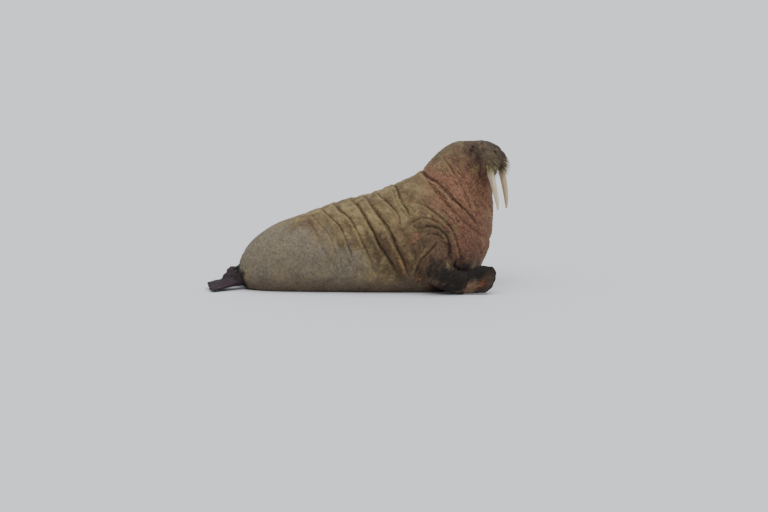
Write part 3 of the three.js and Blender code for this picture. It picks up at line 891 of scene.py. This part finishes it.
def makeHide():
    material, tree, shader = startMaterial("walrusHide", {"Specular IOR Level": 0.3})
    coords = addNode(tree, "ShaderNodeTexCoord", out="Object")
    shares = {name: noise(tree, coords, *grain) for name, grain in hideGrains.items()}
    # streaks of the palm, 110 mm long and 16 mm wide, that climb forwards
    shares["streak"] = noise(tree, grainWay(tree, coords, -42, (0.11, 0.016, 0.016)), 1.0, 4.0, 0.6)
    # lumps of the neck, 20 mm wide and drawn out to 42 mm down and forwards
    neckWay = warped(tree, grainWay(tree, coords, 58, (0.042, 0.02, 0.02)), 1.1, 2.0, 1.2)
    shares["boss"] = addNode(tree, "ShaderNodeTexVoronoi", {"feature": "SMOOTH_F1"},
                             {"Vector": neckWay, "Scale": 1.0, "Smoothness": 0.5})
    shares["netting"] = cellEdges(tree, neckWay, 0.8)
    # cracks between plates of hide 24 mm across, drawn coarser than life so that they show
    shares["cracks"] = cellEdges(tree, warped(tree, coords, 30.0, 3.0, 0.045), 42.0)
    for name in list(patches) + ["foot", "fold", "ridge", "under"]:
        shares[name] = addNode(tree, "ShaderNodeAttribute", {"attribute_name": name}, out="Fac")
    for name, (grain, low, high) in hideMasks.items():
        shares[name] = spread(tree, shares[grain], low, high)
    shares["bosses"] = product(tree, shares["red"], shares["bossTop"])
    colour = blend(tree, shares["mottled"], linear(hideColours["tan"]), linear(hideColours["brown"]))
    for name, factors, strength in hideLayers:
        share = strength
        for factor in factors.split():
            share = product(tree, shares[factor], share)
        colour = blend(tree, share, colour, linear(hideColours[name]))
    worn = spread(tree, shares["speck"], 0.3, 0.7, 0.7, 1.3, "LINEAR")
    colour = addNode(tree, "ShaderNodeVectorMath", {"operation": "SCALE"}, {0: colour, "Scale": worn})
    tree.links.new(colour, shader.inputs["Base Color"])
    normal = None
    for name, strength, height in hideRelief:
        inputs = {"Strength": abs(strength), "Distance": height, "Height": shares[name]}
        if normal:
            inputs["Normal"] = normal
        normal = addNode(tree, "ShaderNodeBump", {"invert": strength < 0}, inputs)
    tree.links.new(normal, shader.inputs["Normal"])
    tree.links.new(spread(tree, shares["mottle"], 0.3, 0.7, 0.62, 0.85, "LINEAR"), shader.inputs["Roughness"])
    return material


skinMesh.calc_loop_triangles()
kept = min(1, skin["triangles"] / len(skinMesh.loop_triangles))
skinMesh = modified(skinMesh, "DECIMATE", ratio=kept)
paintSkin(skinMesh)
finishPiece("skin", largestPart(skinMesh), makeHide(), skin["nodes"] + skin["pads"])
print("stage: skin")


# Eyes: a wet dark ball under each pair of lids
eyeGlass, _, _ = startMaterial("wetEye", {
    "Base Color": linear("#120b08"), "Roughness": 0.25, "Specular IOR Level": 0.3,
    "Coat Weight": 0.2, "Coat Roughness": 0.06,
})
for name in ("eye_right", "eye_left"):
    ball = bmesh.new()
    bmesh.ops.create_uvsphere(ball, u_segments=48, v_segments=32, radius=face["eyeRadius"] / 1000,
                              matrix=Matrix.Translation(boxMiddle(name)))
    finishPiece(name.replace("eye", "eyeball"), ball, eyeGlass, [name])
print("stage: eyes")


# Tusks: oval horns that lean forwards, bow a little and taper to a worn tip
tusk = {
    "path": [(1290, 84, 1185), (1322, 85, 1100), (1362, 80, 960), (1388, 72, 840), (1396, 65, 752)],
    "radii": (34.0, 27.0),
    "taper": [1.0, 1.0, 0.84, 0.6, 0.24],
    "tip": (0.985, 0.015),  # the end that is rounded off: where it starts and how long it is
    "rings": 44, "crowding": 0.9,
    "sides": 28,
}


def makeTusk(side):
    bm = bmesh.new()
    path = [np.array(onHead(x, side * y, z)) for x, y, z in tusk["path"]]
    ring = bmesh.ops.create_circle(bm, cap_ends=True, segments=tusk["sides"], radius=1)["verts"]
    edges = list({e for vert in ring for e in vert.link_edges})
    deep, wide = tusk["radii"]

    def put(verts, share, before):
        centre = Vector(curveAt(path, share))
        beyond, short = (Vector(curveAt(path, s)) for s in (min(share + 0.01, 1), max(share - 0.01, 0)))
        way = (beyond - short).normalized()
        ahead = headWay(1, 0, 0)
        across = way.cross(ahead).normalized()
        ahead = across.cross(way).normalized()
        size = curveAt(tusk["taper"], share)
        start, length = tusk["tip"]
        if share > start:
            size *= math.sqrt(max(1 - ((share - start) / length) ** 2, 0.02))
        frameNow = Matrix((across * wide * size, ahead * deep * size, way)).transposed()
        for vert, (x, y) in zip(verts, before):
            vert.co = toFrame(centre + frameNow @ Vector((x, y, 0)))

    unit = [(vert.co.x, vert.co.y) for vert in ring]
    put(ring, 0, unit)
    for step in range(1, tusk["rings"] + 1):
        new = bmesh.ops.extrude_edge_only(bm, edges=edges)["geom"]
        fresh = [g for g in new if isinstance(g, bmesh.types.BMVert)]
        edges = [g for g in new if isinstance(g, bmesh.types.BMEdge) and all(v in fresh for v in g.verts)]
        put(fresh, (step / tusk["rings"]) ** tusk["crowding"], unit)
    bmesh.ops.contextual_create(bm, geom=edges)
    bmesh.ops.recalc_face_normals(bm, faces=bm.faces)
    return bm


# Ivory: worn smooth, cream, with fine lengthwise cracks and a brown stain near the gum
ivory = {
    "stain": (34.0, 4.0), "stained": (0.38, 0.68, 0.0, 0.75),
    "gum": (1.08, 1.18, 0.0, 0.25), "gumColour": "#7d6142",  # heights in metres
    "grain": (160.0, 5.0, 0.6), "cracked": (0.46, 0.34, 0.0, 0.5), "crackColour": "#6d5334",
}


def makeIvory(name, tone, tip):
    material, tree, shader = startMaterial(name, {"Roughness": 0.42})
    coords = addNode(tree, "ShaderNodeTexCoord", out="Object")
    # cracks and grain run down the tusk, 6 mm apart and 90 mm long
    drawn = addNode(tree, "ShaderNodeMapping", inputs={"Vector": coords, "Scale": (1.0, 1.0, 0.07)})
    grain = noise(tree, drawn, *ivory["grain"])
    height = addNode(tree, "ShaderNodeSeparateXYZ", inputs={"Vector": coords}, out="Z")
    colour = linear(tone)
    for socket, span, shade in (
        (noise(tree, drawn, *ivory["stain"]), ivory["stained"], tip),
        (height, ivory["gum"], ivory["gumColour"]),
        (grain, ivory["cracked"], ivory["crackColour"]),
    ):
        colour = blend(tree, spread(tree, socket, *span), colour, linear(shade))
    tree.links.new(colour, shader.inputs["Base Color"])
    bump = addNode(tree, "ShaderNodeBump", inputs={"Strength": 0.4, "Distance": 0.001, "Height": grain})
    tree.links.new(bump, shader.inputs["Normal"])
    return material


finishPiece("tuskRight", makeTusk(-1), makeIvory("wornIvory", "#d6cbb2", "#b29b72"), ["tusk_right"])
finishPiece("tuskLeft", makeTusk(1), makeIvory("stainedIvory", "#c2ae8c", "#9a7f56"), ["tusk_left"])
print("stage: tusks")


# Whiskers: stiff bristles in rows over both pads, short on top and long below and at the side
whisker = {
    "rows": 13, "columns": 13, "scatter": (0.7, 0.5), "seed": 3,
    "rise": (14, -76), "turn": (-24, 88),  # from the first row and column to the last, degrees
    "lay": (0.35, 0.2, -0.5),  # they lean forwards, out and down from the skin
    "radius": 2.9, "thinning": 0.8, "length": (26.0, 104.0), "unlike": (0.75, 1.15), "sunk": 8.0,
    "sway": 0.12, "droop": 0.2, "tones": (0.1, 0.9, 1),
}


def bristleShape():
    template = bmesh.new()
    bmesh.ops.create_cone(template, cap_ends=True, segments=6, radius1=1, radius2=0.25, depth=1,
                          matrix=Matrix.Translation((0, 0, 0.5)))
    upright = [e for e in template.edges if abs(e.verts[0].co.z - e.verts[1].co.z) > 0.5]
    bmesh.ops.subdivide_edges(template, edges=upright, cuts=4)
    return toMesh(template, "bristle")


# One bristle of a pad: low is its share of the way down the pad, out its share of the way to the side
def addBristle(bm, shape, side, low, out, rng):
    rise, turn = (math.radians(first + change * share)
                  for (first, change), share in ((whisker["rise"], low), (whisker["turn"], out)))
    d = Vector((math.cos(rise) * math.cos(turn), side * math.cos(rise) * math.sin(turn), math.sin(rise)))
    x, y, z = pad["centre"]
    a, b, c = pad["radii"]
    root = Vector(onHead(x + d.x * a, side * y + d.y * b, z + d.z * c))
    ahead, aside, up = whisker["lay"]
    way = headWay(d.x + ahead, d.y + side * aside, d.z + up)
    short, long = whisker["length"]
    length = (short + (long - short) * low * (1 - 0.25 * out)) * rng.uniform(*whisker["unlike"])
    across = way.cross(Vector((0, 0, 1))).normalized()
    over = across.cross(way)
    before, faceCount = len(bm.verts), len(bm.faces)
    bm.from_mesh(shape)
    bm.verts.ensure_lookup_table()
    bm.faces.ensure_lookup_table()
    sway = rng.uniform(-whisker["sway"], whisker["sway"]) * length
    tone = rng.choice(whisker["tones"])
    straw = bm.verts.layers.float["straw"]
    for vert in bm.verts[before:]:
        u, w, t = vert.co
        reach = t * (length + whisker["sunk"]) - whisker["sunk"]
        girth = whisker["radius"] * (1 - whisker["thinning"] * t)
        bend = max(reach / length, 0) ** 2
        point = root + way * reach + (across * u + over * w) * girth
        point += across * sway * bend + Vector((0, 0, -whisker["droop"] * length * bend))
        vert.co = toFrame(point)
        vert[straw] = min(1.0, 4 * out) * (0.3 + 0.7 * low) * tone
    # the bristle's own spot in the OFBake UV map, left or right by its pad
    spotU, spotV = 0.25 + 0.5 * (side > 0) + 0.2 * (2 * out - 1), 0.1 + 0.8 * low
    layer = bm.loops.layers.uv["OFBake"]
    for newFace in bm.faces[faceCount:]:
        for loop in newFace.loops:
            spot = loop.vert.co * 1000
            loop[layer].uv = (spotU + 0.0015 * math.sin(spot.x), spotV + 0.0015 * math.sin(spot.z))


def makeWhiskers():
    shape = bristleShape()
    bm = bmesh.new()
    bm.loops.layers.uv.new("OFBake")
    bm.verts.layers.float.new("straw")
    rng = random.Random(whisker["seed"])
    down, sideways = whisker["scatter"]
    for side in (-1, 1):
        for row in range(whisker["rows"]):
            for column in range(whisker["columns"]):
                low = (row + down * rng.random()) / whisker["rows"]
                out = (column + 0.5 * (row % 2) + sideways * rng.random()) / whisker["columns"]
                addBristle(bm, shape, side, low, out, rng)
    return bm


# Bristle: dull horn, straw-coloured on the near side of each pad and dark at the front
def makeBristle():
    material, tree, shader = startMaterial("hornBristle", {"Roughness": 0.45})
    coords = addNode(tree, "ShaderNodeTexCoord", out="Object")
    straw = addNode(tree, "ShaderNodeAttribute", {"attribute_name": "straw"}, out="Fac")
    tone = spread(tree, noise(tree, coords, 30.0), 0.3, 0.7, 0.5, 1.0, "LINEAR")
    colour = blend(tree, product(tree, tone, straw), linear("#43372a"), linear("#e2d09a"))
    tree.links.new(colour, shader.inputs["Base Color"])
    return material


finishPiece("whiskers", makeWhiskers(), makeBristle(), [])
print("stage: whiskers")


# Nails: a small horn cone on the back of each finger and toe
nail = {
    "radius": 5.5, "tipRadius": 1.5, "length": 26.0, "bevel": 0.8, "clear": 0.6,
    "side": -0.84, "margin": 0.06,  # on the back of the flipper, and in from its edges
}
# The flippers of the solids: root, ways along and across, width and thickness of the root, length, length
# of each finger, spread in degrees, curl, depth of the web and where its nails start
flippers = [
    ((940, -484, 100), (0.97, 0.04, 0.13), (-0.13, 0.42, 0.88), 186, 96, 325,
     [0.66, 0.82, 0.94, 1.02, 1.03], (-11, 6), 18, 0.022, 0.88),
    ((930, 484, 56), (0.72, 0.68, -0.12), (0.68, -0.72, 0), 140, 92, 325,
     [0.8, 0.9, 0.98, 1.02, 1], (-15, 15), -12, 0.03, 0.88),
    ((-1106, -208, 74), (-0.97, -0.22, -0.12), (-0.23, 0.95, 0.16), 110, 78, 322,
     [1, 0.87, 0.8, 0.83, 0.95], (-22, 22), -10, 0.06, 0.72),
    ((-1092, -35, 84), (-0.7, 0.7, -0.03), (0.2, 0.7, 0.6), 100, 74, 322,
     [1, 0.87, 0.8, 0.83, 0.95], (-22, 22), 10, 0.06, 0.72),
]
# Corners cut off, thinning towards the end and the edge, and height of the fingers' ridges
flipperForm = {"corner": 0.16, "thinning": 0.76, "edge": 0.97, "ridge": 0.35}


# A point of a flipper: out from its root and across from one edge to the other, from 0 to 1
def flipperPoint(flipper, out, share):
    root, along, crossways, rootWidth, rootThick, length, fingers, (first, last), curl, web, _ = flipper
    ahead = Vector(along).normalized()
    sole = ahead.cross(Vector(crossways)).normalized()
    v = 2 * share - 1
    knuckle = 0.5 + 0.5 * math.cos(2 * math.pi * share * (len(fingers) - 1))
    reach = curveAt(fingers, share) * (1 - flipperForm["corner"] * v**8 * out)
    far = out * length * reach * (1 - web * (1 - knuckle) * out * out)
    angle = math.radians(first + (last - first) * share)
    thick = rootThick * (1 - flipperForm["thinning"] * out**0.8) * math.sqrt(1 - v * v * flipperForm["edge"])
    lift = 0.5 * nail["side"] * thick * (1 + flipperForm["ridge"] * (knuckle - 0.5)) + curl * out * out
    place = Vector(root) + ahead * far * math.cos(angle)
    return place + sole.cross(ahead) * (v * rootWidth / 2 + far * math.sin(angle)) + sole * lift


def makeNails():
    bm = bmesh.new()
    for flipper in flippers:
        for finger in range(5):
            share = nail["margin"] + (1 - 2 * nail["margin"]) * finger / 4
            ends = pushed(np.array([flipperPoint(flipper, out, share) for out in (flipper[-1], 1)]))
            base = Vector(ends[0])
            lie = (Vector(ends[1]) - base).normalized()
            turn = lie.to_track_quat("Z", "Y").to_matrix().to_4x4()
            middle = Matrix.Translation(toFrame(base + lie * nail["length"] / 4))
            horn = bmesh.ops.create_cone(bm, cap_ends=True, segments=14, radius1=nail["radius"] / 1000,
                                         radius2=nail["tipRadius"] / 1000, depth=nail["length"] / 1000,
                                         matrix=middle @ turn)["verts"]
            short = nail["clear"] / 1000 - min(vert.co.z for vert in horn)
            if short > 0:
                bmesh.ops.translate(bm, verts=horn, vec=(0, 0, short))
    bmesh.ops.bevel(bm, geom=bm.edges[:], affect="EDGES", offset=nail["bevel"] / 1000, segments=2,
                    profile=0.5, material=-1, clamp_overlap=True)
    return bm


# Nail horn: smooth, dark and faintly banded
def makeNailHorn():
    material, tree, shader = startMaterial("nailHorn", {"Roughness": 0.38})
    bands = noise(tree, addNode(tree, "ShaderNodeTexCoord", out="Object"), 180.0, 3.0)
    tree.links.new(blend(tree, bands, linear("#2a211b"), linear("#6d5c48")), shader.inputs["Base Color"])
    return material


finishPiece("nails", makeNails(), makeNailHorn(), [])
print("stage: nails")


# Studio: a pale floor and large soft lights
studio = {
    "floorSize": 150, "floor": "#d9dade",
    "air": "#eef1f5", "airStrength": 0.55,
    # name, place, softness in degrees and strength of each lamp
    "lamps": [("keyLight", (0.8, -2.6, 9.0), 75, 2.9), ("backLight", (2.0, 6.0, 7.0), 50, 0.5)],
}


def makeStudio():
    ground = bmesh.new()
    bmesh.ops.create_grid(ground, x_segments=1, y_segments=1, size=studio["floorSize"])
    floor = addObject("floor", toMesh(ground, "floor"))
    material, _, _ = startMaterial("paleFloor", {"Base Color": linear(studio["floor"]), "Roughness": 0.9})
    floor.data.materials.append(material)
    world = bpy.data.worlds.new("studio")
    world.use_nodes = True
    scene.world = world
    background = world.node_tree.nodes["Background"]
    background.inputs["Color"].default_value = linear(studio["air"])
    background.inputs["Strength"].default_value = studio["airStrength"]
    for name, where, softness, power in studio["lamps"]:
        data = bpy.data.lights.new(name, "SUN")
        data.angle = math.radians(softness)
        data.energy = power
        lamp = addObject(name, data)
        lamp.location = where
        lamp.rotation_euler = (-Vector(where)).to_track_quat("-Z", "Y").to_euler()


makeStudio()
print("stage: studio")
